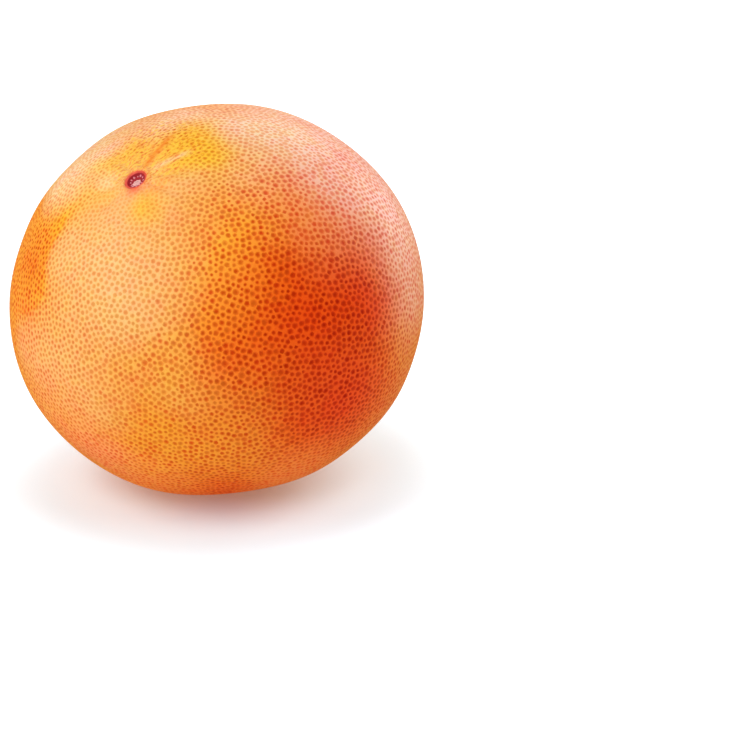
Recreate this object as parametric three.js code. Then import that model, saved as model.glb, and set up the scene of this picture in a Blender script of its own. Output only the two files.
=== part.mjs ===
// A whole pomelo of the pink grapefruit kind, grown as one piece, so it is one closed solid.
// Millimetres, +Z up. The stem end leans towards -Y and the fruit rests on a small flat spot.
import * as THREE from 'three';
import { ConvexHull } from 'three/addons/math/ConvexHull.js';

const { clamp, degToRad, seededRandom, smoothstep } = THREE.MathUtils;

// Body: a flattened ball, a little wider one way than the other
const equatorRadius = 60;
const poleRadius = 54.5;
const ovalShare = 0.022; // widening along X and narrowing across it, as a share of the radius
const threeLobeShare = 0.011; // three low swellings round the equator
const shoulderShare = 0.003; // fuller towards the stem end than towards the blossom end
const cheek = { height: 1.4, spread: 0.5, fromStem: degToRad(86), turn: degToRad(57) };
const swells = { // slow swells of the whole peel, along X, Y and Z of the stem's frame
  x: { height: 0.2, rate: 9, start: 1 },
  y: { height: 0.14, rate: 13, start: 2.2 },
  z: { height: 0.1, rate: 17, start: 0.4, skew: 3 },
};

// How it lies
const stemLean = degToRad(37); // stem end away from straight up
const centreHeight = 54.0; // middle of the fruit above the surface that it lies on
const footLean = degToRad(4); // the flat spot is this far towards -Y of the point under the middle
const settled = { depth: 1.1, spread: 0.42 }; // flatter towards the surface that it lies on
const footZone = 11.8; // the flat spot stays inside this distance from its middle
const footRings = [[0, 1], [5.2, 11], [10.4, 26]]; // distance from its middle and points on the ring

// Stem end, by distance along the peel from the middle of the stem scar
const basin = { depth: 1.0, reach: 10 };
const furrows = { count: 10, depth: 0.55, begin: 3.6, full: 8, end: 23 };
const furrowDrift = { twofold: 1.1, threefold: 0.7, depth: 0.35 }; // keeps them uneven
const scar = { radius: 3.1, depth: 1.2, wall: 0.35 };
const beads = { count: 10, ring: 2.2, spread: 0.5, height: 0.4 };
const boss = { height: 0.35, spread: 0.8 };

// Blossom end
const blossom = { depth: 0.9, reach: 4.2, lip: 0.3, lipRing: 6 };

// Oil glands, larger than life: each is a shallow pit in the middle of its own cell
const cornerGap = 0.9; // least distance between two corners of the cells
const glands = { count: 1850, depth: 0.45, jitter: 0.16 };

// Rings of plain points that draw the stem end: distance from its middle and points on the ring
const stemRings = [
  [0, 1], [0.9, 6], [1.7, 10], [2.2, 20], [2.7, 20], [3.1, 22], [3.5, 22], [4.6, 24],
  [6.2, 30], [8, 38], [10, 44], [12.2, 46], [14.6, 46], [17.2, 46],
];
const stemZone = 18.6; // glands begin outside this distance

const ringTwist = 0.37;
const seed = 7;
const goldenAngle = Math.PI * (3 - Math.sqrt(5));
const tiltAxis = new THREE.Vector3(1, 0, 0);
const footTurn = Math.PI - stemLean - footLean;

const bell = (distance, spread) => Math.exp(-((distance / spread) ** 2));

// Direction at a given angle from the stem and a given turn round it
function direction(fromStem, turn) {
  const side = Math.sin(fromStem);
  return new THREE.Vector3(side * Math.cos(turn), side * Math.sin(turn), Math.cos(fromStem));
}

// Points on a spiral from pole to pole, each pushed a little off its place
function glandDirections() {
  const directions = [];
  const spacing = Math.sqrt((4 * Math.PI) / glands.count);
  for (let i = 0; i < glands.count; i += 1) {
    const height = 1 - (2 * i + 1) / glands.count;
    const push = () => (seededRandom() - 0.5) * 2 * glands.jitter * spacing;
    const gland = direction(Math.acos(height), i * goldenAngle);
    directions.push(gland.add(new THREE.Vector3(push(), push(), push())).normalize());
  }
  return directions;
}

// Rings of points round the stem end, each ring turned by part of a step from the one inside it
function ringDirections(rings, curvature) {
  return rings.flatMap(([distance, points], ring) => Array.from({ length: points }, (_, i) =>
    direction(distance / curvature, ((i + ring * ringTwist) * 2 * Math.PI) / points)));
}

// The same round the middle of the flat spot, where a flattened ball that leans reaches lowest
function footDirections() {
  return ringDirections(footRings, centreHeight).map((along) =>
    along.applyAxisAngle(tiltAxis, footTurn));
}

// Triangles of the convex skin of points on a ball, as lists of three of those points
function skinTriangles(directions) {
  return new ConvexHull().setFromPoints(directions).faces.map((face) => {
    const corners = [face.edge, face.edge.next, face.edge.next.next];
    return corners.map((edge) => edge.head().point);
  });
}

// The corner between three neighbouring cells is as far from each of their middles
function cellCorner([a, b, c]) {
  return b.clone().sub(a).cross(c.clone().sub(a)).normalize();
}

// Corners that all but coincide make splinters, so only the first of them is kept
function withoutNearTwins(directions) {
  const kept = [];
  directions.forEach((along) => {
    if (!kept.some((other) => other.distanceTo(along) * equatorRadius < cornerGap)) kept.push(along);
  });
  return kept;
}

// Relief of the stem end, in millimetres, outwards
function stemRelief(distance, turn) {
  const inScar = 1 - smoothstep(distance, scar.radius - scar.wall, scar.radius + scar.wall);
  const phase = furrows.count * turn + furrowDrift.twofold * Math.sin(2 * turn)
    + furrowDrift.threefold * Math.sin(3 * turn + 1);
  const valley = (0.5 + 0.5 * Math.cos(phase)) ** 2;
  const uneven = 1 + furrowDrift.depth * Math.sin(3 * turn + 1);
  const along = smoothstep(distance, furrows.begin, furrows.full)
    * (1 - smoothstep(distance, furrows.full, furrows.end));
  const bead = bell(distance - beads.ring, beads.spread) * (0.5 + 0.5 * Math.cos(beads.count * turn));
  return boss.height * bell(distance, boss.spread) + beads.height * bead
    - basin.depth * bell(distance, basin.reach) - scar.depth * inScar
    - furrows.depth * valley * uneven * along;
}

const middleOfFoot = direction(0, 0).applyAxisAngle(tiltAxis, footTurn);
const middleOfCheek = direction(cheek.fromStem, cheek.turn);

// Distance from the middle of the fruit to its skin in a direction given from the stem
function skinRadius(along) {
  const turn = Math.atan2(along.y, along.x);
  const fromStem = Math.acos(clamp(along.z, -1, 1));
  const side = Math.hypot(along.x, along.y);
  const ball = 1 / Math.hypot(side / equatorRadius, along.z / poleRadius);
  const lobes = ovalShare * side ** 2 * Math.cos(2 * turn)
    + threeLobeShare * side ** 3 * Math.cos(3 * turn)
    + shoulderShare * (5 * along.z ** 3 - 3 * along.z) / 2;
  const { x, y, z } = swells;
  const swell = x.height * Math.sin(x.rate * along.x + x.start)
    + y.height * Math.sin(y.rate * along.y + y.start)
    + z.height * Math.sin(z.rate * along.z + z.start + z.skew * along.x);
  const bulge = cheek.height * bell(along.distanceTo(middleOfCheek), cheek.spread)
    - settled.depth * bell(along.distanceTo(middleOfFoot), settled.spread);
  const fromBlossom = (Math.PI - fromStem) * poleRadius;
  const blossomRelief = blossom.lip * bell(fromBlossom - blossom.lipRing, blossom.reach / 2)
    - blossom.depth * bell(fromBlossom, blossom.reach);
  return ball * (1 + lobes) + bulge + swell + stemRelief(fromStem * poleRadius, turn) + blossomRelief;
}

// Skin point in the fruit's lying position, flattened where it would reach below the surface
function skinPoint(along, isGland) {
  const lying = along.clone().applyAxisAngle(tiltAxis, stemLean);
  let radius = skinRadius(along) - (isGland ? glands.depth : 0);
  if (lying.z < 0) radius = Math.min(radius, centreHeight / -lying.z);
  return lying.multiplyScalar(radius);
}

function fruitGeometry() {
  const rings = [...ringDirections(stemRings, poleRadius), ...footDirections()];
  const outsideRings = (along) => along.z < Math.cos(stemZone / poleRadius)
    && along.dot(middleOfFoot) < Math.cos(footZone / centreHeight);
  const middles = glandDirections().filter(outsideRings);
  const allCorners = skinTriangles([...middles, ...rings]).map(cellCorner);
  const corners = withoutNearTwins(allCorners.filter(outsideRings));
  const glandSet = new Set(middles);
  const all = [...middles, ...corners, ...rings];
  const place = new Map(all.map((along, i) => [along, i]));
  const positions = all.flatMap((along) => skinPoint(along, glandSet.has(along)).toArray());
  const geometry = new THREE.BufferGeometry();
  geometry.setAttribute('position', new THREE.Float32BufferAttribute(positions, 3));
  geometry.setIndex(skinTriangles(all).flat().map((along) => place.get(along)));
  geometry.computeBoundingBox();
  const middle = geometry.boundingBox.getCenter(new THREE.Vector3());
  geometry.translate(-middle.x, -middle.y, -geometry.boundingBox.min.z);
  geometry.computeVertexNormals();
  return geometry;
}

seededRandom(seed);
const peel = new THREE.MeshStandardMaterial({ color: '#f28a3a', roughness: 0.42, metalness: 0 });
const fruit = new THREE.Mesh(fruitGeometry(), peel);
fruit.name = 'fruit';

const pomelo = new THREE.Group();
pomelo.add(fruit);

export default pomelo;
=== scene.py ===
import math

import bmesh
import bpy
import numpy as np
from mathutils import Matrix, Vector


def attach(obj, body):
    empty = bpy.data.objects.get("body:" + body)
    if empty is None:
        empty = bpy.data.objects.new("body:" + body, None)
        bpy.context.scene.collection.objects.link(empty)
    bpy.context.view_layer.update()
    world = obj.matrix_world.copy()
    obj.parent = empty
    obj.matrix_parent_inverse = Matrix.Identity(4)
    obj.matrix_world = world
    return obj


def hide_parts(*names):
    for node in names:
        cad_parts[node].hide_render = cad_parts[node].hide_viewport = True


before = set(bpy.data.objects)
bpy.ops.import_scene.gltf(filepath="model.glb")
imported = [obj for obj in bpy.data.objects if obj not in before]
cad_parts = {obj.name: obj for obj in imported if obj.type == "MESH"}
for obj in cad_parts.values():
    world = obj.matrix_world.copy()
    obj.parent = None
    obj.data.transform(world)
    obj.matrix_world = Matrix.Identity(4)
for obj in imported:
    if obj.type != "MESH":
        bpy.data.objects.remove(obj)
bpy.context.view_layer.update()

mm = 0.001

# the fruit's skin, which both pieces follow: millimetres, in the stem's frame, where +Z points out
# of the stem scar; places are degrees from the stem and degrees of turn round it
body = {
    "equator": 60.0, "pole": 54.5, "meanRadius": 58.0,
    "oval": 0.022, "threeLobe": 0.011, "shoulder": 0.003,  # shares of the radius
    "cheekHeight": 1.4, "cheekSpread": 0.5, "cheekFromStem": 86.0, "cheekTurn": 57.0,
    # a slow wave along each axis: height, rate, start
    "swells": [(0.2, 9.0, 1.0), (0.14, 13.0, 2.2), (0.1, 17.0, 0.4)], "swellSkew": 3.0,
    # how the fruit lies, and its underside settled under its own weight
    "stemLean": 37.0, "centreHeight": 54.0,
    "footLean": 4.0, "settled": 1.1, "settledSpread": 0.42,
    "boxGrid": (400, 800),  # points from stem to blossom end, and round, to find the skin's box
    # the stem end: a basin, furrows that slower waves bend and deepen, and the stem scar's bed and lip
    "basin": 1.0, "basinReach": 10.0,
    "furrows": 10, "furrowDepth": 0.55, "furrowBegin": 3.6, "furrowFull": 8.0, "furrowEnd": 23.0,
    "twofold": 1.1, "threefold": 0.7, "threefoldStart": 1.0, "unevenDepth": 0.35,
    "scarRadius": 3.1, "scarDepth": 1.2, "scarWall": 0.35,
    "stemLip": 0.22, "stemLipRing": 3.9, "stemLipSpread": 0.8,
    # the blossom end: a small dimple in a low swelling
    "blossomDepth": 0.9, "blossomReach": 4.2,
    "blossomLip": 0.3, "blossomLipRing": 6.0, "blossomLipSpread": 2.1,
}


# bell curve: 1 in the middle, falling off over the width
def bell(x, width):
    return np.exp(-(x / width) ** 2)


# smooth step: 0 below low, 1 above high
def ramp(x, low, high):
    t = np.clip((x - low) / (high - low), 0, 1)
    return t * t * (3 - 2 * t)


# each point's direction, as its coordinates over its distance from the middle
def unit(points):
    return points / np.linalg.norm(points, axis=-1)[..., None]


# unit directions at an angle from the stem and a turn round it, both in radians
def directions(fromStem, turn):
    side = np.sin(fromStem)
    return np.stack([side * np.cos(turn), side * np.sin(turn), np.cos(fromStem)], axis=-1)


# the same directions once the stem end has leaned towards -Y
def leaned(along, degrees=body["stemLean"]):
    lean = math.radians(degrees)
    y = along[..., 1] * math.cos(lean) - along[..., 2] * math.sin(lean)
    z = along[..., 1] * math.sin(lean) + along[..., 2] * math.cos(lean)
    return np.stack([along[..., 0], y, z], axis=-1)


# distance over the skin from the middle of the stem scar, and turn round it
def stemPolar(along):
    fromStem = np.arccos(np.clip(along[..., 2], -1, 1))
    return fromStem * body["pole"], np.arctan2(along[..., 1], along[..., 0])


cheekMiddle = directions(math.radians(body["cheekFromStem"]), math.radians(body["cheekTurn"]))
footMiddle = leaned(np.array([0.0, 0.0, 1.0]), 180 - body["stemLean"] - body["footLean"])


# the round bed the stem left: 1 inside, 0 outside
def scarBed(distance):
    edge, wall = body["scarRadius"], body["scarWall"]
    return 1 - ramp(distance, edge - wall, edge + wall)


# height over the skin at the stem end: a lip less a shallow basin, the bed of the stem scar, and
# furrows, which are a squared cosine round the stem, bent and made uneven by slower waves
def stemRelief(distance, turn):
    threefold = np.sin(3 * turn + body["threefoldStart"])
    phase = body["furrows"] * turn + body["twofold"] * np.sin(2 * turn) + body["threefold"] * threefold
    valley = (0.5 + 0.5 * np.cos(phase)) ** 2
    reach = ramp(distance, body["furrowBegin"], body["furrowFull"])
    reach = reach * (1 - ramp(distance, body["furrowFull"], body["furrowEnd"]))
    furrow = body["furrowDepth"] * valley * (1 + body["unevenDepth"] * threefold) * reach
    relief = body["stemLip"] * bell(distance - body["stemLipRing"], body["stemLipSpread"])
    relief = relief - body["basin"] * bell(distance, body["basinReach"])
    return relief - body["scarDepth"] * scarBed(distance) - furrow


# distance from the middle of the fruit to its skin: a flattened ball, oval and with three low
# lobes round the equator, a cheek, a settled underside, slow swells and the relief of both ends
def skinRadius(along):
    x, y, z = along[..., 0], along[..., 1], along[..., 2]
    distance, turn = stemPolar(along)
    side = np.hypot(x, y)
    ball = 1 / np.hypot(side / body["equator"], z / body["pole"])
    lobes = body["oval"] * side ** 2 * np.cos(2 * turn) + body["threeLobe"] * side ** 3 * np.cos(3 * turn)
    lobes = lobes + body["shoulder"] * (5 * z ** 3 - 3 * z) / 2
    (hx, rx, sx), (hy, ry, sy), (hz, rz, sz) = body["swells"]
    swell = hx * np.sin(rx * x + sx) + hy * np.sin(ry * y + sy)
    swell = swell + hz * np.sin(rz * z + sz + body["swellSkew"] * x)
    fromCheek = np.linalg.norm(along - cheekMiddle, axis=-1)
    fromFoot = np.linalg.norm(along - footMiddle, axis=-1)
    bulge = body["cheekHeight"] * bell(fromCheek, body["cheekSpread"])
    bulge = bulge - body["settled"] * bell(fromFoot, body["settledSpread"])
    fromBlossom = math.pi * body["pole"] - distance
    blossom = body["blossomLip"] * bell(fromBlossom - body["blossomLipRing"], body["blossomLipSpread"])
    blossom = blossom - body["blossomDepth"] * bell(fromBlossom, body["blossomReach"])
    return ball * (1 + lobes) + bulge + swell + stemRelief(distance, turn) + blossom


# skin points as the fruit lies, pressed flat where they would reach below the surface it rests on
def skinPoints(along, outward=0.0):
    lying = leaned(along)
    down = np.maximum(-lying[..., 2], 1e-6)  # kept above zero, so what points up isn't pressed
    radius = np.minimum(skinRadius(along) + outward, body["centreHeight"] / down)
    return lying * radius[..., None]


# the middle of the skin's box, which the frame puts on its Z axis
def boxMiddle():
    rows, columns = body["boxGrid"]
    fromStem, turn = np.meshgrid(np.linspace(0, math.pi, rows), np.linspace(0, 2 * math.pi, columns))
    points = skinPoints(directions(fromStem, turn)).reshape(-1, 3)
    middle = (points.min(0) + points.max(0)) / 2
    return np.array([middle[0], middle[1], -body["centreHeight"]])


skinMiddle = boxMiddle()


# from the fruit's own frame to the shared frame, in metres
def placed(points):
    return (points - skinMiddle) * mm


# a mesh from corners, with faces given as arrays of 3 or 4 corner numbers a row
def meshFrom(name, points, *faceSets):
    mesh = bpy.data.meshes.new(name)
    loops = np.concatenate([faces.ravel() for faces in faceSets]).astype(np.int32)
    sizes = np.concatenate([np.full(len(faces), faces.shape[1]) for faces in faceSets])
    starts = np.concatenate([[0], np.cumsum(sizes)[:-1]]).astype(np.int32)
    mesh.vertices.add(len(points))
    mesh.vertices.foreach_set("co", points.astype(np.float32).ravel())
    mesh.loops.add(len(loops))
    mesh.loops.foreach_set("vertex_index", loops)
    mesh.polygons.add(len(sizes))
    mesh.polygons.foreach_set("loop_start", starts)
    mesh.update(calc_edges=True)
    mesh.shade_smooth()
    mesh.validate()
    return mesh


# stores rows of 3 numbers as a vector and rows of 4 as a colour
def addAttribute(mesh, name, domain, values):
    kinds = {3: ("FLOAT_VECTOR", "vector"), 4: ("FLOAT_COLOR", "color")}
    kind, field = kinds[values.shape[-1]]
    layer = mesh.attributes.new(name, kind, domain)
    layer.data.foreach_set(field, values.astype(np.float32).ravel())


# an object in the scene that holds a mesh, a camera or a light
def addObject(name, data):
    made = bpy.data.objects.new(name, data)
    bpy.context.scene.collection.objects.link(made)
    return made


# a piece of the fruit's one body, in its one material slot
def addPiece(name, mesh):
    piece = addObject(name, mesh)
    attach(piece, "root")
    return piece


# a socket is fed by another one or holds a value
def feed(tree, socket, value):
    if isinstance(value, bpy.types.NodeSocket):
        tree.links.new(value, socket)
    else:
        socket.default_value = value


# a node with its settings, and then its inputs by name or number
def addNode(tree, kind, inputs=(), **settings):
    node = tree.nodes.new("ShaderNode" + kind)
    for name, value in settings.items():
        setattr(node, name, value)
    for name, value in dict(inputs).items():
        feed(tree, node.inputs[name], value)
    return node


# a node group with numbers in and out: its tree, what it is given and what it has to give
def addGroup(name, inputs, outputs):
    tree = bpy.data.node_groups.new(name, "ShaderNodeTree")
    for label, value in inputs.items():
        socket = tree.interface.new_socket(label, in_out="INPUT", socket_type="NodeSocketFloat")
        socket.default_value = value
    for label in outputs:
        tree.interface.new_socket(label, in_out="OUTPUT", socket_type="NodeSocketFloat")
    return tree, tree.nodes.new("NodeGroupInput").outputs, tree.nodes.new("NodeGroupOutput").inputs


# from the first colour to the second, or a blend of them; a Mix node's colours are its inputs 6 and 7
# and its output 2
def mix(tree, factor, first, second, blend="MIX"):
    inputs = {0: factor}
    for number, colour in ((6, first), (7, second)):
        inputs[number] = (*colour, 1) if isinstance(colour, tuple) else colour
    return addNode(tree, "Mix", inputs, data_type="RGBA", blend_type=blend).outputs[2]


# a sum on numbers and sockets
def calc(tree, operation, *values, clamp=False):
    return addNode(tree, "Math", dict(enumerate(values)), operation=operation, use_clamp=clamp).outputs[0]


# value from one range to another with soft ends
def spread(tree, value, low, high, toLow=0.0, toHigh=1.0):
    ranges = {"Value": value, "From Min": low, "From Max": high, "To Min": toLow, "To Max": toHigh}
    return addNode(tree, "MapRange", ranges, interpolation_type="SMOOTHSTEP").outputs["Result"]


# soft noise on Object coordinates, from 0 to 1, which every grain and patch of the materials shares
def makeNoiseGroup():
    tree, given, wanted = addGroup("softNoise", {"Scale": 1.0, "Detail": 0.0, "Roughness": 0.0}, ("Noise",))
    inputs = {name: given[name] for name in ("Scale", "Detail", "Roughness")}
    inputs["Vector"] = addNode(tree, "TexCoord").outputs["Object"]
    tree.links.new(addNode(tree, "TexNoise", inputs).outputs["Fac"], wanted["Noise"])
    return tree


noiseGroup = makeNoiseGroup()


# that noise with a scale, detail and roughness of its own
def noise(tree, scale, detail=3.0, roughness=0.55):
    inputs = {"Scale": scale, "Detail": detail, "Roughness": roughness}
    return addNode(tree, "Group", inputs, node_tree=noiseGroup).outputs["Noise"]


# the 3 or 4 numbers of one of the mesh's attributes, by label
def readAttribute(tree, name, *labels):
    found = addNode(tree, "Attribute", attribute_name=name).outputs
    parts = addNode(tree, "SeparateColor", {"Color": found["Color"]}).outputs
    return dict(zip(labels, (*parts, found["Alpha"])))


# relief that follows a height from 0 to 1 times a distance in metres
def addBump(tree, height, strength, distance):
    bump = addNode(tree, "Bump", {"Height": height, "Strength": strength, "Distance": distance})
    return bump.outputs["Normal"]


# a material and its empty node tree
def newMaterial(name):
    material = bpy.data.materials.new(name)
    material.use_nodes = True
    material.node_tree.nodes.clear()
    return material, material.node_tree


# a Principled shader for the whole surface
def addShader(tree, inputs):
    shader = addNode(tree, "BsdfPrincipled", inputs)
    addNode(tree, "OutputMaterial", {"Surface": shader.outputs["BSDF"]})


# the peel: every gland sits in a cell of its own and shows as a dot in a dimple; millimetres for
# the shape, metres in the material
peel = {
    # width of a gland's cell, which changes between distances from the stem
    "spacing": 1.79, "stemSpacing": 1.6, "stemNear": 7.0, "stemFar": 24.0,
    "lowSpacing": 1.69, "lowNear": 58.0, "lowFar": 78.0,
    "bedSpacing": 0.66, "bedEnd": 4.4, "bedSoft": 1.2,
    "cellShare": 0.866,  # area of a six-sided cell over its width squared
    "countSteps": 4000,  # from the stem to the blossom end, to count the glands
    # small and large glands take their rooms, are shaken, and push each other apart
    "smallShare": 0.34, "smallRoom": 0.88, "largeRoom": 1.05,
    "seed": 5, "jitter": 0.26, "rounds": 12, "push": 0.32, "pushRoom": 1.04,
    # a dimple's radius and depth, less of both near the stem
    "smallRadius": 0.40, "largeRadius": 0.56, "radiusSpread": 0.08,
    "stemSize": 0.5, "sizeNear": 5.0, "sizeFar": 26.0,
    "smallDepth": 0.07, "largeDepth": 0.13, "depthNear": 4.5, "depthFar": 24.0,
    # the ridge between cells, and the ring at the edge of a large gland's dimple
    "ridgeHeight": 0.03, "ridgeNear": 6.0, "ridgeFar": 24.0,
    "evenness": 0.5,  # the more, the less a cell's corners crowd the smaller glands
    "ringShare": 0.42, "ringReach": 1.05, "ringLimit": 0.7, "ringDepth": 0.3,
    "sink": 0.06,  # keeps the ridges inside the frame's box
    # the soft round patches of each colour zone: degrees from the stem, turn, spread and strength,
    # where a strength below 0 takes away
    "patches": {
        # the pale zone is partly the skin's own paler peach colour, partly a painted broad highlight on the
        # left and a painted reflection of the floor low on the left
        "paleAndHighlight": [(0, -90, 18, 1.6), (31, -76, 15.5, 1.6), (60, -102, 18, 0.62), (58, -121, 10, 0.65),
                 (30, 162, 19, 0.85), (66, 168, 30, 0.4), (30, 45, 12, 0.3), (64, -104, 12, 0.3),
                 (30, 75, 9, 0.5), (37, -149, 9, -1.2), (46, -131, 8.5, -1.2), (28, -119, 9, 0.75),
                 (64, -54, 12, 0.15), (52, -158, 22, -0.6)],
        "golden": [(64, -52, 12, 0.12), (34, 48, 13, 0.4), (18, 57, 7, 2.6), (28, 64, 9, 0.7),
                   (12.7, -32, 5, 0.9), (14, 125, 6.5, 0.78), (15, 165, 6, 0.6), (14, -130, 7, 0.3),
                   (25, -153, 6.5, 0.5), (27, 174, 10, 0.4), (108, 108, 36, 0.5)],
        # the blush zone is partly the skin's own pink, partly a painted whitish sheen along the upper right
        # edge
        "blushAndSheen": [(60, 58, 20, 1.5), (68, 40, 22, 1.6), (27, 112, 9, 0.35), (19.6, 149, 5, 0.6),
                  (88, 20, 16, 0.5), (122, 178, 32, 0.35), (88, -94, 10, 0.3)],
        # the deep zone is partly the skin's own deep red-orange, partly painted shade that darkens and
        # reddens the lower right side
        "deepAndShade": [(68, -8, 17.5, 1.7), (109, -64, 13.5, 0.65), (94, -20, 17.5, 1.7), (66, -32, 13, 0.36),
                 (52, -36, 13, 0.12), (76, -52, 14, 0.12), (41, -137, 9, 0.22), (85, 142, 34, 0.3)],
        # the cream zone is partly the skin's own cream colour, partly a painted whitish sheen on the upper
        # right side
        "creamAndSheen": [(45, 60, 11, 1.2), (41, 150, 14, 0.4), (29, 104, 8, 0.5), (12, -160, 3, 0.35),
                  (27, 174, 9, 0.7), (30, -166, 7, 0.15), (66, 95, 18, 0.4)],
        "rose": [(52, 12, 11, 0.65), (86, -96, 11, 0.7), (112, -42, 10, 0.9), (100, -84, 12, 0.5),
                 (56, -121, 10, 0.3), (70, -108, 12, 0.25), (9, 6, 3.5, 0.45), (115, 0, 20, 0.5),
                 (130, -130, 30, 0.5)],
        "faint": [(126, -52, 36, 0.25), (36, 150, 16, 0.4), (60, 75, 20, 0.3), (22, -80, 20, 0.25),
                  (68, -76, 16, 0.3), (20, -15, 10, 0.2), (13, -60, 9, 0.4), (13, -120, 9, 0.4),
                  (120, 120, 40, 0.3)],
    },
    "patchGrowth": 1.5,  # how fast a zone fills up where its patches meet
    "waveShift": 0.035, "waveStarts": (0.4, 2.0, 4.1),
    "waveRates": [(7.0, 11.0, -5.0), (-9.0, 6.0, 12.0), (5.0, -8.0, 9.0)],
    # paint round the stem scar, by degrees of turn and distance from the stem
    "streakTurn": 54, "streakWidth": 0.85, "streakFrom": 4.5, "streakTo": 19.0,
    "grooveTurn": 89, "grooveWidth": 0.95, "grooveFrom": 3.2, "grooveTo": 21.0,
    "rayStart": 3.0, "rayFade": 6.0,  # lengths over which streak and groove come and go
    "wallFrom": 3.1, "wallTo": 3.75, "flushTurn": -58, "flushReach": 2.6, "flushSide": 3.2,
    # from here on colours are linear red, green and blue, a tint multiplies a colour, a noise has its
    # scale and may have its detail, and a range goes from none to all of an effect; a zone has the
    # colour of its skin between the glands, that of its dots, and the raggedness of its border
    "plain": ((0.97, 0.35, 0.018), (0.62, 0.066, 0.001)),
    "zones": {
        # pale: partly the skin's own colour, partly a painted highlight and a painted reflection of the
        # floor
        "paleAndHighlight": ((0.92, 0.50, 0.175), (0.75, 0.31, 0.085), 0.5),
        "golden": ((0.95, 0.49, 0.008), (0.78, 0.28, 0.002), 0.9),
        # blush: partly the skin's own pink, partly a painted whitish sheen
        "blushAndSheen": ((0.98, 0.485, 0.33), (0.86, 0.215, 0.15), 0.5),
        # deep: partly the skin's own deep red-orange, partly painted shade
        "deepAndShade": ((0.91, 0.048, 0.001), (0.37, 0.0022, 0.0002), 0.3),
        # cream: partly the skin's own colour, partly a painted whitish sheen
        "creamAndSheen": ((0.97, 0.67, 0.40), (0.93, 0.49, 0.25), 0.5),
        "rose": ((0.98, 0.26, 0.045), (0.84, 0.08, 0.01), 0.4),
    },
    "borderNoise": (42.0, 4.0), "borderRange": (0.0, 0.2),
    # dots, with radii in millimetres, are alike in the pale zone, with its painted highlight, and larger in
    # the deep one, with its painted shade
    "dotNoise": 1200.0, "dotEdge": 0.66, "dotRagged": 1.3,
    "zoneRange": (0.1, 0.8), "dotEven": 0.6, "evenRadius": 0.44, "dotGrow": 0.1,
    "toneLow": 0.63, "depthRange": (0.0, 0.5), "faintFill": 0.3,
    # by a slow noise and their tone, some dots lean to red and some to tan
    "hue": (230.0, 3.0), "hueTone": 0.4, "hueMix": 0.4, "paleHueMix": 0.22, "hueRange": (0.0, 0.8),
    "ruddy": (0.76, 0.06, 0.004), "ruddyRange": (0.52, 0.72),
    "tan": (0.60, 0.21, 0.02), "tanRange": (0.48, 0.28),
    # tints from a dot's edge to the ridge between dots, by distance over the dot's radius; the ridge's
    # lighter, whiter tint is partly the skin's own and partly a painted highlight
    "hollowTint": (0.98, 0.87, 0.75), "ridgeHighlightTint": (1.0, 1.16, 1.4), "ridgeRange": (1.0, 1.85),
    # fine noises, and the tints they lay over everything: noise, range, strength, tint
    "grain": (1500.0, 3.0), "speck": (2700.0, 2.0, 0.7),
    "shades": [
        ("hue", (0.5, 0.68), 0.5, (1.0, 0.86, 1.05)), ("hue", (0.5, 0.32), 0.5, (1.0, 1.07, 0.82)),
        ("grain", (0.3, 0.75), 0.38, (0.93, 0.72, 0.55)),
        ("speck", (0.5, 0.72), 0.3, (0.84, 0.60, 0.6)), ("speck", (0.5, 0.28), 0.3, (1.0, 1.35, 1.5)),
    ],
    # fine wrinkles round a spot beside the stem, by degrees from the stem and turn
    "wrinkleSpot": (13.0, 95.0), "wrinkleReach": (0.006, 0.023), "wrinkleTurn": 66.0,
    "wrinkleScale": 1500.0, "wrinkleLong": 0.4, "wrinkleDetail": 3.0, "wrinkleRoughness": 0.6,
    "wrinkleDistortion": 0.6, "wrinkleRange": (0.3, 0.7), "wrinkleMix": 0.95, "wrinkleGolden": 0.5,
    # a painted highlight on the wrinkles' crests and painted shade in their hollows
    "wrinkleHighlight": (0.96, 0.59, 0.11), "wrinkleHighlightRange": (0.05, 0.3),
    "wrinkleShade": (0.93, 0.58, 0.3), "wrinkleShadeRange": (-0.05, -0.35),
    # colour and strength of the paint round the stem scar
    "paints": {
        "streak": ((0.96, 0.66, 0.40), 0.75), "groove": ((0.88, 0.22, 0.012), 0.8),
        "flush": ((0.82, 0.085, 0.045), 0.85), "wall": ((0.84, 0.11, 0.06), 1.0),
    },
    "streakBreak": (0.1, 0.7, 0.25, 1.0),  # range of the wrinkles, and what they leave of the streak
    "domeHeight": 0.5, "grainHeight": 0.4, "wrinkleHeight": 0.9,  # parts of the bump
    "bumpStrength": 0.5, "bumpHeight": 0.00016,
    "roughness": 0.44, "dotRoughness": 0.56, "gloss": 0.19, "deepGloss": 0.09, "dotGloss": 0.3,
    "sheen": 0.06, "sheenRoughness": 0.35, "sheenTint": (1.0, 0.75, 0.45, 1.0),
}


# width of a gland's cell by distance from the stem: smooth steps from the bed's width to the stem
# end's, on to the side's and on to the low side's
def glandSpacing(distance):
    wide = ramp(distance, peel["stemNear"], peel["stemFar"])
    spacing = peel["stemSpacing"] + (peel["spacing"] - peel["stemSpacing"]) * wide
    spacing += (peel["lowSpacing"] - peel["spacing"]) * ramp(distance, peel["lowNear"], peel["lowFar"])
    bed = ramp(distance, peel["bedEnd"], peel["bedEnd"] + peel["bedSoft"])
    return peel["bedSpacing"] + (spacing - peel["bedSpacing"]) * bed


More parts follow.
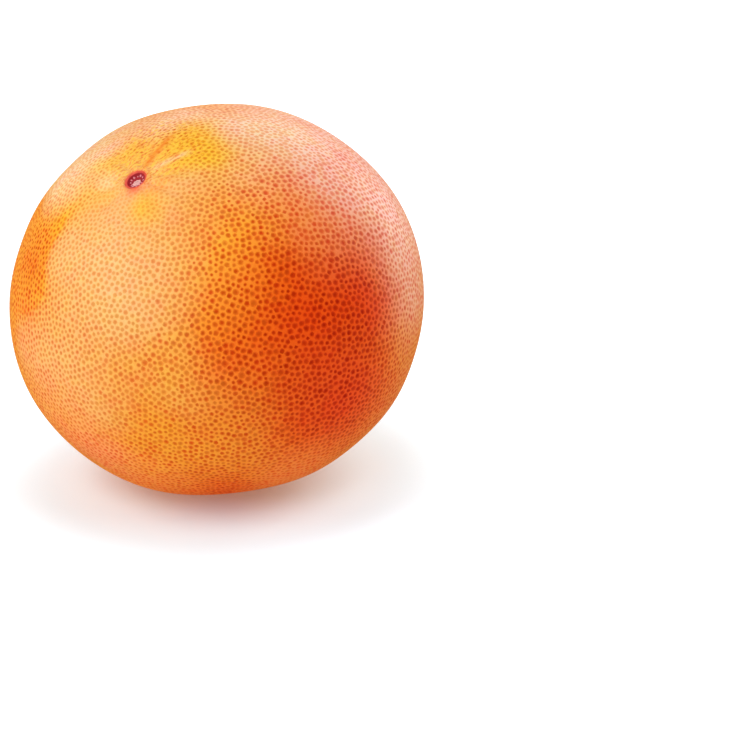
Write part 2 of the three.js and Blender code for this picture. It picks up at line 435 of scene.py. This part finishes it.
# triangles between neighbours on a ball are the faces of the convex skin round them
def skinTriangles(along):
    mesh = bpy.data.meshes.new("skin")
    mesh.vertices.add(len(along))
    mesh.vertices.foreach_set("co", along.astype(np.float32).ravel())
    shape = bmesh.new()
    shape.from_mesh(mesh)
    bmesh.ops.convex_hull(shape, input=shape.verts)
    shape.to_mesh(mesh)
    shape.free()
    corners = np.empty(len(mesh.loops), dtype=np.int32)
    mesh.loops.foreach_get("vertex_index", corners)
    bpy.data.meshes.remove(mesh)
    triangles = corners.reshape(-1, 3)
    a, b, c = (along[triangles[:, k]] for k in range(3))
    outward = np.einsum("ij,ij->i", np.cross(b - a, c - a), a) > 0
    return np.where(outward[:, None], triangles, triangles[:, ::-1])


# every gland's angle from the stem: a belt's area over that of one cell, added up from the stem on,
# counts the glands, and each stands where the sum passes its number
def glandAngles():
    fine = np.linspace(0, math.pi, peel["countSteps"])
    area = 2 * math.pi * body["meanRadius"] ** 2 * np.sin(fine)
    density = area / (peel["cellShare"] * glandSpacing(fine * body["pole"]) ** 2)
    total = np.concatenate([[0], np.cumsum((density[1:] + density[:-1]) / 2 * np.diff(fine))])
    return np.interp(np.arange(int(total[-1])) + 0.5, total, fine)


# neighbours that stand closer than the mean of their rooms push each other apart, round by round
def pushApart(along, room):
    for _ in range(peel["rounds"]):
        triangles = skinTriangles(along)
        edges = np.concatenate([triangles[:, [0, 1]], triangles[:, [1, 2]], triangles[:, [2, 0]]])
        edges = edges[edges[:, 0] < edges[:, 1]]
        gap = along[edges[:, 1]] - along[edges[:, 0]]
        length = np.linalg.norm(gap, axis=1)
        wanted = (room[edges[:, 0]] + room[edges[:, 1]]) / 2 * peel["pushRoom"]
        step = gap * (peel["push"] * np.maximum(wanted - length, 0) / length)[:, None]
        np.subtract.at(along, edges[:, 0], step)
        np.add.at(along, edges[:, 1], step)
        along = unit(along)
    return along


# gland middles on a golden-angle spiral, shaken and pushed apart, with the radius and depth of each
# gland's dimple and a tone from 0 to 1
def layGlands():
    rng = np.random.default_rng(peel["seed"])
    fromStem = glandAngles()
    count = len(fromStem)
    spacing = glandSpacing(fromStem * body["pole"])
    small = rng.random(count) < peel["smallShare"]
    room = spacing * np.where(small, peel["smallRoom"], peel["largeRoom"]) / body["meanRadius"]
    along = directions(fromStem, np.arange(count) * math.pi * (3 - math.sqrt(5)))
    along = unit(along + rng.normal(0, 1, along.shape) * (room * peel["jitter"])[:, None])
    along = pushApart(along, room)
    distance = stemPolar(along)[0]
    radius = np.where(small, peel["smallRadius"], peel["largeRadius"]) * spacing / peel["spacing"]
    radius *= 1 + peel["radiusSpread"] * rng.normal(0, 1, count)
    radius *= peel["stemSize"] + (1 - peel["stemSize"]) * ramp(distance, peel["sizeNear"], peel["sizeFar"])
    depth = np.where(small, peel["smallDepth"], peel["largeDepth"])
    depth = depth * ramp(distance, peel["depthNear"], peel["depthFar"])
    return along, radius, depth, rng.random(count)


# half-edge k * faces + f starts at corner k of triangle f; gives each one's start, its triangle, its
# twin in the neighbouring triangle, which has its ends the other way round, and the one that follows
def halfEdges(triangles, points):
    faces = len(triangles)
    start = triangles.T.ravel().astype(np.int64)
    end = triangles[:, [1, 2, 0]].T.ravel()
    ends = start * points + end
    order = np.argsort(ends)
    twin = order[np.searchsorted(ends[order], end * points + start)]
    following = (np.arange(3 * faces) + faces) % (3 * faces)
    return start, np.tile(np.arange(faces), 3), twin, following


# each gland owns a cell: its middle and the cell's corners, one in every triangle of neighbouring
# glands, nearer to the smaller ones; a large gland also has a ring at the edge of its dimple
def buildPeel():
    along, radius, depth, tone = layGlands()
    triangles = skinTriangles(along)
    start, face, twin, following = halfEdges(triangles, len(along))
    pull = 1 / (radius[triangles] + peel["evenness"])
    corner = unit(np.einsum("fk,fkx->fx", pull, along[triangles]))
    plain = radius < np.quantile(radius, 1 - peel["ringShare"])
    ringed = np.flatnonzero(~plain[start])
    middle = start[ringed]
    toCorner = corner[face[ringed]] - along[middle]
    reach = np.linalg.norm(toCorner, axis=1) * body["meanRadius"]
    share = np.minimum(radius[middle] * peel["ringReach"] / reach, peel["ringLimit"])
    ring = unit(along[middle] + toCorner * share[:, None])
    everywhere = np.concatenate([along, ring, corner])
    ringFirst, cornerFirst = len(along), len(along) + len(ring)
    ridge = peel["ridgeHeight"] * ramp(stemPolar(corner)[0], peel["ridgeNear"], peel["ridgeFar"])
    out = np.concatenate([-depth, -peel["ringDepth"] * depth[middle], ridge])
    points = skinPoints(everywhere, out - peel["sink"])
    near = np.zeros(len(start), dtype=np.int64)
    near[ringed] = ringFirst + np.arange(len(ringed))
    far = near[following[twin]]
    nearCorner, farCorner = cornerFirst + face, cornerFirst + face[twin]
    wedges = np.stack([start, far, near], axis=1)[ringed]
    rims = np.stack([far, farCorner, nearCorner, near], axis=1)[ringed]
    cones = np.stack([start, farCorner, nearCorner], axis=1)[plain[start]]
    mesh = meshFrom("peel", placed(points), wedges, cones, rims)
    # every face corner's offset from its own gland's middle, and that gland's radius, depth and tone
    owner = np.concatenate([np.repeat(wedges[:, 0], 3), np.repeat(cones[:, 0], 3), np.repeat(middle, 4)])
    at = np.concatenate([wedges.ravel(), cones.ravel(), rims.ravel()])
    kind = np.stack([radius[owner], depth[owner] / peel["largeDepth"], tone[owner]], axis=1)
    addAttribute(mesh, "glandOffset", "CORNER", (everywhere[at] - along[owner]) * body["meanRadius"])
    addAttribute(mesh, "glandKind", "CORNER", kind)
    return mesh, everywhere


# how much of each colour zone every point has: 1 - exp(-growth * the sum of the zone's patches),
# where a patch is a bell curve and three sine waves bend the borders
def zoneStrengths(along):
    waves = np.sin(along @ np.array(peel["waveRates"]) + np.array(peel["waveStarts"]))
    along = unit(along + peel["waveShift"] * waves)
    shares = []
    for patches in peel["patches"].values():
        total = np.zeros(len(along))
        for fromStem, turn, width, strength in patches:
            middle = directions(math.radians(fromStem), math.radians(turn))
            total += strength * bell(np.linalg.norm(along - middle, axis=1), math.radians(width))
        shares.append(1 - np.exp(-peel["patchGrowth"] * np.maximum(total, 0)))
    return np.stack(shares, axis=1)


# paint round the stem scar: a pale streak and an orange groove that run out from it, each a bell
# curve across its line, the red wall of the scar's bed, and a pink flush, a bell curve on one side
def stemColours(along):
    distance, turn = stemPolar(along)

    def ray(name):
        aim = turn - math.radians(peel[name + "Turn"])
        ahead, aside = distance * np.cos(aim), distance * np.sin(aim)
        begin, end = peel[name + "From"], peel[name + "To"]
        length = ramp(ahead, begin, begin + peel["rayStart"]) * (1 - ramp(ahead, end - peel["rayFade"], end))
        return bell(aside, peel[name + "Width"]) * length

    wall = 1 - ramp(distance, peel["wallFrom"], peel["wallTo"])
    side = math.radians(peel["flushTurn"])
    x = distance * np.cos(turn) - peel["flushSide"] * math.cos(side)
    y = distance * np.sin(turn) - peel["flushSide"] * math.sin(side)
    flush = bell(np.hypot(x, y), peel["flushReach"])
    return np.stack([ray("streak"), ray("groove"), wall, flush], axis=1)


# a gland's dot is 1 inside its radius, soft and slightly ragged at the edge; its dome rises from 0
# in the middle to 1 outside
def makeDotGroup():
    defaults = {"Offset": 0.0, "Radius": 1.0, "Edge": peel["dotEdge"], "Ragged": peel["dotRagged"]}
    tree, given, wanted = addGroup("glandDot", defaults, ("Dot", "Dome"))
    wobble = calc(tree, "MULTIPLY_ADD", noise(tree, peel["dotNoise"]), given["Ragged"], 1.0)
    wobble = calc(tree, "SUBTRACT", wobble, calc(tree, "MULTIPLY", given["Ragged"], 0.5))
    offset = calc(tree, "MULTIPLY", given["Offset"], wobble)
    inner = calc(tree, "MULTIPLY", given["Radius"], calc(tree, "SUBTRACT", 1.0, given["Edge"]))
    outer = calc(tree, "MULTIPLY", given["Radius"], calc(tree, "ADD", 1.0, given["Edge"]))
    tree.links.new(spread(tree, offset, inner, outer, 1.0, 0.0), wanted["Dot"])
    tree.links.new(spread(tree, offset, 0.0, outer), wanted["Dome"])
    return tree


# noise drawn out along one line across the stem end, for the fine wrinkles there, and how near
# every point is to their spot
def makeWrinkleGroup():
    defaults = {"Scale": peel["wrinkleScale"], "Long": peel["wrinkleLong"]}
    tree, given, wanted = addGroup("stemWrinkles", defaults, ("Wrinkle", "Near"))
    where = turned = addNode(tree, "TexCoord").outputs["Object"]
    for axis, degrees in (("X_AXIS", body["stemLean"]), ("Z_AXIS", peel["wrinkleTurn"])):
        turned = addNode(tree, "VectorRotate", {"Vector": turned, "Angle": -math.radians(degrees)},
                         rotation_type=axis).outputs["Vector"]
    squash = addNode(tree, "CombineXYZ", {"X": given["Long"], "Y": 1.0, "Z": 1.0}).outputs["Vector"]
    drawn = addNode(tree, "VectorMath", {0: turned, 1: squash}, operation="MULTIPLY").outputs["Vector"]
    lines = addNode(tree, "TexNoise", {
        "Vector": drawn, "Scale": given["Scale"], "Detail": peel["wrinkleDetail"],
        "Roughness": peel["wrinkleRoughness"], "Distortion": peel["wrinkleDistortion"]}).outputs["Fac"]
    spot = placed(skinPoints(directions(*np.radians(peel["wrinkleSpot"]))))
    apart = addNode(tree, "VectorMath", {0: where, 1: spot}, operation="DISTANCE").outputs["Value"]
    tree.links.new(spread(tree, lines, *peel["wrinkleRange"]), wanted["Wrinkle"])
    tree.links.new(spread(tree, apart, *peel["wrinkleReach"], 1.0, 0.0), wanted["Near"])
    return tree


# how much of a gland's dot shows at every point, the distance from its middle over its radius, and
# its dome
def glandDots(tree, gland, zone):
    away = addNode(tree, "Attribute", attribute_name="glandOffset").outputs["Vector"]
    offset = addNode(tree, "VectorMath", {0: away}, operation="LENGTH").outputs["Value"]
    even = spread(tree, zone["paleAndHighlight"], *peel["zoneRange"], 0.0, peel["dotEven"])
    toEven = calc(tree, "SUBTRACT", peel["evenRadius"], gland["radius"])
    radius = calc(tree, "MULTIPLY_ADD", toEven, even, gland["radius"])
    grown = spread(tree, zone["deepAndShade"], *peel["zoneRange"], 1.0, 1 + peel["dotGrow"])
    radius = calc(tree, "MULTIPLY", radius, grown)
    dots = addNode(tree, "Group", {"Offset": offset, "Radius": radius}, node_tree=makeDotGroup()).outputs
    strength = calc(tree, "MULTIPLY", spread(tree, gland["tone"], 0.0, 1.0, peel["toneLow"], 1.0),
                    spread(tree, gland["depth"], *peel["depthRange"]))
    strength = calc(tree, "MULTIPLY", strength, calc(tree, "SUBTRACT", 1.0, zone["faint"]))
    shown = calc(tree, "MULTIPLY", dots["Dot"], strength)
    shown = calc(tree, "MULTIPLY_ADD", zone["faint"], peel["faintFill"], shown)
    return shown, calc(tree, "DIVIDE", offset, radius), dots["Dome"]


# each zone's share of the colour: its strength, to which noise and the wrinkles near the stem are
# added for a ragged border, times a smooth step of that strength
def zoneShares(tree, zone, wrinkle):
    patch = calc(tree, "SUBTRACT", noise(tree, *peel["borderNoise"]), 0.5)
    shares = {}
    for name, (_, _, ragged) in peel["zones"].items():
        rough = calc(tree, "MULTIPLY_ADD", patch, ragged, zone[name])
        rough = calc(tree, "MULTIPLY_ADD", wrinkle, ragged, rough)
        soft = spread(tree, zone[name], *peel["borderRange"])
        shares[name] = calc(tree, "MULTIPLY", rough, soft, clamp=True)
    return shares


# some dots turn ruddy and others tan, less so in the pale and blush zones, partly painted highlight and
# sheen, and none tan in the deep one, partly painted shade
def hueDots(tree, dotColour, hue, tone, zone):
    dotHue = calc(tree, "MULTIPLY_ADD", calc(tree, "SUBTRACT", tone, 0.5), peel["hueTone"], hue)
    light = calc(tree, "MAXIMUM", zone["paleAndHighlight"], zone["blushAndSheen"])
    hueMix = spread(tree, light, *peel["hueRange"], peel["hueMix"], peel["paleHueMix"])
    ruddy = spread(tree, dotHue, *peel["ruddyRange"], 0.0, hueMix)
    tan = spread(tree, dotHue, *peel["tanRange"], 0.0, hueMix)
    tan = calc(tree, "MULTIPLY", tan, calc(tree, "SUBTRACT", 1.0, zone["deepAndShade"]))
    return mix(tree, tan, mix(tree, ruddy, dotColour, peel["ruddy"]), peel["tan"])


# painted highlights on the crests of the fine wrinkles beside the stem, and painted shade in their hollows
def wrinkleHighlightAndShade(tree, colour, wrinkle, golden):
    light = spread(tree, wrinkle, *peel["wrinkleHighlightRange"], 0.0, peel["wrinkleMix"])
    dark = spread(tree, wrinkle, *peel["wrinkleShadeRange"], 0.0, peel["wrinkleMix"])
    golden = calc(tree, "MULTIPLY", golden, peel["wrinkleGolden"])
    highlightColour = mix(tree, golden, peel["wrinkleHighlight"], peel["zones"]["golden"][0])
    return mix(tree, dark, mix(tree, light, colour, highlightColour), peel["wrinkleShade"], "MULTIPLY")


# dots over skin, each mixed from its zones' colours, with shades, wrinkles and paint over both
def peelMaterial():
    material, tree = newMaterial("peel")
    gland = readAttribute(tree, "glandKind", "radius", "depth", "tone")
    zone = readAttribute(tree, "zones", "paleAndHighlight", "golden", "blushAndSheen", "deepAndShade")
    zone.update(readAttribute(tree, "moreZones", "creamAndSheen", "rose", "faint"))
    paint = readAttribute(tree, "stemPaint", "streak", "groove", "wall", "flush")
    noises = {name: noise(tree, *peel[name]) for name in ("hue", "grain", "speck")}
    wrinkles = addNode(tree, "Group", node_tree=makeWrinkleGroup()).outputs
    wrinkle = calc(tree, "MULTIPLY", calc(tree, "SUBTRACT", wrinkles["Wrinkle"], 0.5), wrinkles["Near"])
    shown, fromDot, dome = glandDots(tree, gland, zone)
    # the skin between the glands, then the dots, zone by zone
    shares = zoneShares(tree, zone, wrinkle)
    skin, dot = peel["plain"]
    for name, (zoneSkin, zoneDot, _) in peel["zones"].items():
        skin = mix(tree, shares[name], skin, zoneSkin)
        dot = mix(tree, shares[name], dot, zoneDot)
    # lighter, whiter ridges between the dots: partly the skin's own colour, partly a painted highlight
    ridge = spread(tree, fromDot, *peel["ridgeRange"])
    skin = mix(tree, 1.0, skin, mix(tree, ridge, peel["hollowTint"], peel["ridgeHighlightTint"]), "MULTIPLY")
    colour = mix(tree, shown, skin, hueDots(tree, dot, noises["hue"], gland["tone"], zone))
    # shades, the wrinkles' painted highlight and shade, and the paint round the stem scar
    for name, limits, strength, tint in peel["shades"]:
        colour = mix(tree, spread(tree, noises[name], *limits, 0.0, strength), colour, tint, "MULTIPLY")
    colour = wrinkleHighlightAndShade(tree, colour, wrinkle, shares["golden"])
    broken = spread(tree, wrinkles["Wrinkle"], *peel["streakBreak"])
    paint["streak"] = calc(tree, "MULTIPLY", paint["streak"], broken)
    for name, (paintColour, strength) in peel["paints"].items():
        colour = mix(tree, calc(tree, "MULTIPLY", paint[name], strength), colour, paintColour)
    height = calc(tree, "MULTIPLY", dome, peel["domeHeight"])
    height = calc(tree, "MULTIPLY_ADD", noises["grain"], peel["grainHeight"], height)
    height = calc(tree, "MULTIPLY_ADD", wrinkle, peel["wrinkleHeight"], height)
    gloss = spread(tree, zone["deepAndShade"], *peel["zoneRange"], peel["gloss"], peel["deepGloss"])
    gloss = calc(tree, "MULTIPLY", gloss, spread(tree, shown, 0.0, 1.0, 1.0, peel["dotGloss"]))
    addShader(tree, {
        "Base Color": colour, "Specular IOR Level": gloss,
        "Roughness": spread(tree, shown, 0.0, 1.0, peel["roughness"], peel["dotRoughness"]),
        "Normal": addBump(tree, height, peel["bumpStrength"], peel["bumpHeight"]),
        "Sheen Weight": peel["sheen"], "Sheen Roughness": peel["sheenRoughness"],
        "Sheen Tint": peel["sheenTint"],
    })
    return material


peelMesh, everywhere = buildPeel()
strengths = zoneStrengths(everywhere)
addAttribute(peelMesh, "zones", "POINT", strengths[:, :4])
addAttribute(peelMesh, "moreZones", "POINT", strengths[:, 4:])
addAttribute(peelMesh, "stemPaint", "POINT", stemColours(everywhere))
peelMesh.materials.append(peelMaterial())
peelPiece = addPiece("peel", peelMesh)
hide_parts("fruit")
triangles = len(peelMesh.loops) - 2 * len(peelMesh.polygons)
print("peel:", len(peelMesh.vertices), "points,", triangles, "triangles")

# the stem scar, in millimetres and degrees; heights count from the skin as it would be without the
# scar's bed
scar = {
    "edge": 3.35, "rimHeight": -0.25, "wallFrom": 1.9, "wallTo": 2.95, "floorHeight": -1.1,
    "beads": 12, "beadRing": 1.95, "beadReach": 0.29, "beadHeight": 0.38,
    "seed": 3, "beadStray": 0.16, "beadShift": 0.12, "beadSizes": (0.8, 1.2),
    "disc": 1.2, "discSoft": 0.3, "discHeight": 0.28, "discAside": 0.62, "discTurn": -62,
    "discRagged": 0.16, "raggedRates": (3, 5), "raggedStart": 0.6,
    "arcRing": 0.56, "arcWidth": 0.19, "arcDepth": 0.2, "arcTurn": 110, "arcSpread": 1.3,
    "bottom": -2.4, "rings": 64, "turns": 176,
    # its colour, and what is painted over it: range, strength and colour
    "colour": (0.36, 0.004, 0.014),
    "paints": {
        "wall": ((0.75, 1.0), 1.0, (0.80, 0.08, 0.045)), "disc": ((0.25, 0.75), 0.92, (0.88, 0.50, 0.46)),
        "beads": ((0.25, 0.62), 1.0, (0.86, 0.33, 0.36)), "arc": ((0.3, 0.75), 0.8, (0.33, 0.20, 0.18)),
    },
    "patchNoise": (900.0, 3.0), "patchRange": (0.35, 0.7), "patchMix": 0.35,
    "grain": (2600.0, 4.0), "bumpStrength": 0.5, "bumpHeight": 0.00012,
    "roughRange": (0.3, 0.7, 0.42, 0.62),  # range of the grain, and the roughness it gives
}


# a smooth step for the sloping wall, a bell curve for each bead in the ring where the stem's bundles
# broke off, and a low ragged disc less a bean-shaped groove; returns the height, and how much every
# point belongs to wall, beads, disc and groove
def scarRelief(distance, turn):
    rng = np.random.default_rng(scar["seed"])
    count = scar["beads"]
    beadTurn = np.arange(count) + rng.uniform(-scar["beadStray"], scar["beadStray"], count)
    beadTurn = beadTurn * 2 * math.pi / count
    beadRing = scar["beadRing"] + rng.uniform(-scar["beadShift"], scar["beadShift"], count)
    beadReach = scar["beadReach"] * rng.uniform(*scar["beadSizes"], count)
    x, y = distance * np.cos(turn), distance * np.sin(turn)
    apart = np.hypot(x[..., None] - beadRing * np.cos(beadTurn), y[..., None] - beadRing * np.sin(beadTurn))
    beads = bell(apart, beadReach).max(axis=-1)
    wall = ramp(distance, scar["wallFrom"], scar["wallTo"])
    discX = x - scar["discAside"] * math.cos(math.radians(scar["discTurn"]))
    discY = y - scar["discAside"] * math.sin(math.radians(scar["discTurn"]))
    discTurn = np.arctan2(discY, discX)
    first, second = scar["raggedRates"]
    ragged = np.sin(first * discTurn + scar["raggedStart"]) * np.cos(second * discTurn)
    fromDisc = np.hypot(discX, discY) * (1 + scar["discRagged"] * ragged)
    disc = 1 - ramp(fromDisc, scar["disc"] - scar["discSoft"], scar["disc"] + scar["discSoft"])
    bend = np.angle(np.exp(1j * (discTurn - math.radians(scar["arcTurn"]))))
    arc = bell(fromDisc - scar["arcRing"], scar["arcWidth"]) * bell(bend, scar["arcSpread"])
    height = scar["floorHeight"] + (scar["rimHeight"] - scar["floorHeight"]) * wall
    height = height + scar["beadHeight"] * beads + scar["discHeight"] * disc - scar["arcDepth"] * arc
    return height, np.stack([wall, beads, disc, arc], axis=-1)


# a polar grid for the top, one ring of walls, and a flat bottom below it
def buildScar():
    rings, turns = scar["rings"], scar["turns"]
    reach = scar["edge"] * (np.arange(rings) + 1) / rings
    distance, turn = np.meshgrid(reach, np.arange(turns) * 2 * math.pi / turns, indexing="ij")
    distance = np.concatenate([[0.0], distance.ravel(), np.full(turns, scar["edge"]), [0.0]])
    turn = np.concatenate([[0.0], turn.ravel(), turn[0], [0.0]])
    height, paint = scarRelief(distance, turn)
    height[-turns - 1:] = scar["bottom"]
    along = directions(distance / body["pole"], turn)
    points = skinPoints(along, height + body["scarDepth"] * scarBed(distance) - peel["sink"])
    first = 1 + np.arange(rings)[:, None] * turns
    a = first + np.arange(turns)
    b = first + (np.arange(turns) + 1) % turns
    nextA, nextB = a + turns, b + turns
    quads = np.stack([a, nextA, nextB, b], axis=-1).reshape(-1, 4)
    middle = np.stack([np.zeros(turns, dtype=int), a[0], b[0]], axis=-1)
    last = np.stack([np.full(turns, len(points) - 1), nextB[-1], nextA[-1]], axis=-1)
    mesh = meshFrom("stemScar", placed(points), quads, middle, last)
    addAttribute(mesh, "scarPaint", "POINT", paint)
    return mesh


# one deep red, painted over part by part, with patches of the red over all
def scarMaterial():
    material, tree = newMaterial("stemScar")
    parts = readAttribute(tree, "scarPaint", "wall", "beads", "disc", "arc")
    colour = scar["colour"]
    for name, (limits, strength, paintColour) in scar["paints"].items():
        colour = mix(tree, spread(tree, parts[name], *limits, 0.0, strength), colour, paintColour)
    patches = spread(tree, noise(tree, *scar["patchNoise"]), *scar["patchRange"], 0.0, scar["patchMix"])
    grain = noise(tree, *scar["grain"])
    addShader(tree, {
        "Base Color": mix(tree, patches, colour, scar["colour"]),
        "Roughness": spread(tree, grain, *scar["roughRange"]),
        "Normal": addBump(tree, grain, scar["bumpStrength"], scar["bumpHeight"]),
    })
    return material


scarMesh = buildScar()
scarMesh.materials.append(scarMaterial())
addPiece("stem_scar", scarMesh)
print("stem scar:", len(scarMesh.vertices), "points,", scar["beads"], "beads")

# the camera, in degrees and metres, with its lens and sensor in millimetres; the picture is 736 units
# across, and the fruit's middle stands at fruitSpot in it
view = {
    "azimuth": 35.9, "elevation": 19.8, "distance": 0.5964, "lens": 100.0, "sensor": 36.0,
    "picture": 736.0, "fruitSpot": (215.6, 299.7), "fruitMiddle": (-0.0009, -0.0001, 0.054),
    "clip": (0.01, 20.0),
}


# returns the directions to the right of the view, up in it and back out of it
def makeCamera():
    azimuth, elevation = math.radians(view["azimuth"]), math.radians(view["elevation"])
    back = Vector((math.sin(azimuth) * math.cos(elevation), -math.cos(azimuth) * math.cos(elevation),
                   math.sin(elevation)))
    right = Vector((math.cos(azimuth), math.sin(azimuth), 0))
    up = back.cross(right)
    perUnit = view["distance"] * view["sensor"] / view["lens"] / view["picture"]
    aside = (view["fruitSpot"][0] - view["picture"] / 2) * perUnit
    above = (view["picture"] / 2 - view["fruitSpot"][1]) * perUnit
    data = bpy.data.cameras.new("camera")
    data.lens = view["lens"]
    data.sensor_width = view["sensor"]
    data.clip_start, data.clip_end = view["clip"]
    camera = addObject("camera", data)
    place = Vector(view["fruitMiddle"]) + back * view["distance"] - right * aside - up * above
    camera.matrix_world = Matrix.Translation(place) @ Matrix((right, up, back)).transposed().to_4x4()
    bpy.context.scene.camera = camera
    return right, up, back


right, up, back = makeCamera()

# floor and light, in metres and watts
studio = {
    "floorHalf": 3.0, "floorColour": (0.66, 0.82, 0.90, 1.0), "floorRoughness": 0.6, "floorGloss": 0.2,
    # the floor's own glow, more of it that only the fruit gets, and rings of it that only the camera
    # sees: from, to, added strength
    "glow": 0.1, "bounce": 0.29, "bounceColour": (1.0, 0.66, 0.35), "seenColour": (1.0, 1.0, 1.0),
    "seenGlow": [(0.018, 0.05, 0.18), (0.05, 0.085, 0.3), (0.12, 0.9, 0.5)],
    "worldColour": (1.0, 1.0, 1.0, 1.0), "worldStrength": 0.22, "worldShine": 0.03,
    # place to the right of, above and towards the camera from the fruit, size, power, and whether
    # it shows as a highlight
    "lights": {
        "leftFront": ((-0.7, 0.6, 0.6), (0.6, 0.6), 3.95, True),
        "top": ((0.0, 1.1, 0.3), (0.7, 0.7), 2.5, True),
        "topBack": ((0.1, 0.8, -0.8), (0.8, 0.6), 2.2, True),
        "rightBack": ((0.8, 0.6, -0.6), (0.6, 0.6), 5.6, True),
        "leftBack": ((-0.9, 0.5, -0.6), (0.6, 0.6), 2.3, False),
        "rightFront": ((0.7, 0.8, 0.7), (0.6, 0.6), 3.1, False),
        "front": ((-0.1, 0.4, 1.2), (0.6, 0.6), 3.2, False),
        "lowLeft": ((-1.1, 0.0, 0.5), (0.5, 0.5), 3.6, False),
    },
}


# a plain floor that glows: more and warmer as the fruit gets it, and in rings as the camera sees it
def makeFloor():
    half = studio["floorHalf"]
    points = np.array([(-half, -half, 0), (half, -half, 0), (half, half, 0), (-half, half, 0)])
    floor = addObject("floor", meshFrom("floor", points, np.array([[0, 1, 2, 3]])))
    material, tree = newMaterial("floor")
    where = addNode(tree, "TexCoord").outputs["Object"]
    distance = addNode(tree, "VectorMath", {0: where}, operation="LENGTH").outputs["Value"]
    seen = addNode(tree, "LightPath").outputs["Is Camera Ray"]
    glow = spread(tree, seen, 0.0, 1.0, studio["glow"] + studio["bounce"], studio["glow"])
    for begin, end, added in studio["seenGlow"]:
        ring = spread(tree, distance, begin, end, 0.0, added)
        glow = calc(tree, "MULTIPLY_ADD", ring, seen, glow)
    addShader(tree, {
        "Base Color": studio["floorColour"], "Roughness": studio["floorRoughness"],
        "Specular IOR Level": studio["floorGloss"], "Emission Strength": glow,
        "Emission Color": mix(tree, seen, studio["bounceColour"], studio["seenColour"]),
    })
    floor.data.materials.append(material)
    floor.visible_glossy = False


# a soft rectangle of light that faces the fruit
def makeLight(name, place, size, watts, shines):
    data = bpy.data.lights.new(name, "AREA")
    data.shape = "RECTANGLE"
    data.size, data.size_y = size
    data.energy = watts
    light = addObject(name, data)
    light.visible_glossy = shines
    away = right * place[0] + up * place[1] + back * place[2]
    turn = away.to_track_quat("Z", "Y").to_matrix().to_4x4()
    light.matrix_world = Matrix.Translation(Vector(view["fruitMiddle"]) + away) @ turn


# an even light from all round, weaker in reflections
def makeWorld():
    world = bpy.data.worlds.new("studio")
    world.use_nodes = True
    tree = world.node_tree
    tree.nodes.clear()
    mirrored = addNode(tree, "LightPath").outputs["Is Glossy Ray"]
    strength = spread(tree, mirrored, 0.0, 1.0, studio["worldStrength"], studio["worldShine"])
    shade = addNode(tree, "Background", {"Color": studio["worldColour"], "Strength": strength})
    addNode(tree, "OutputWorld", {"Surface": shade.outputs["Background"]})
    bpy.context.scene.world = world


makeFloor()
makeWorld()
for name, settings in studio["lights"].items():
    makeLight(name, *settings)
bpy.context.scene.view_settings.view_transform = "Standard"
print("camera, floor and", len(studio["lights"]), "lights")
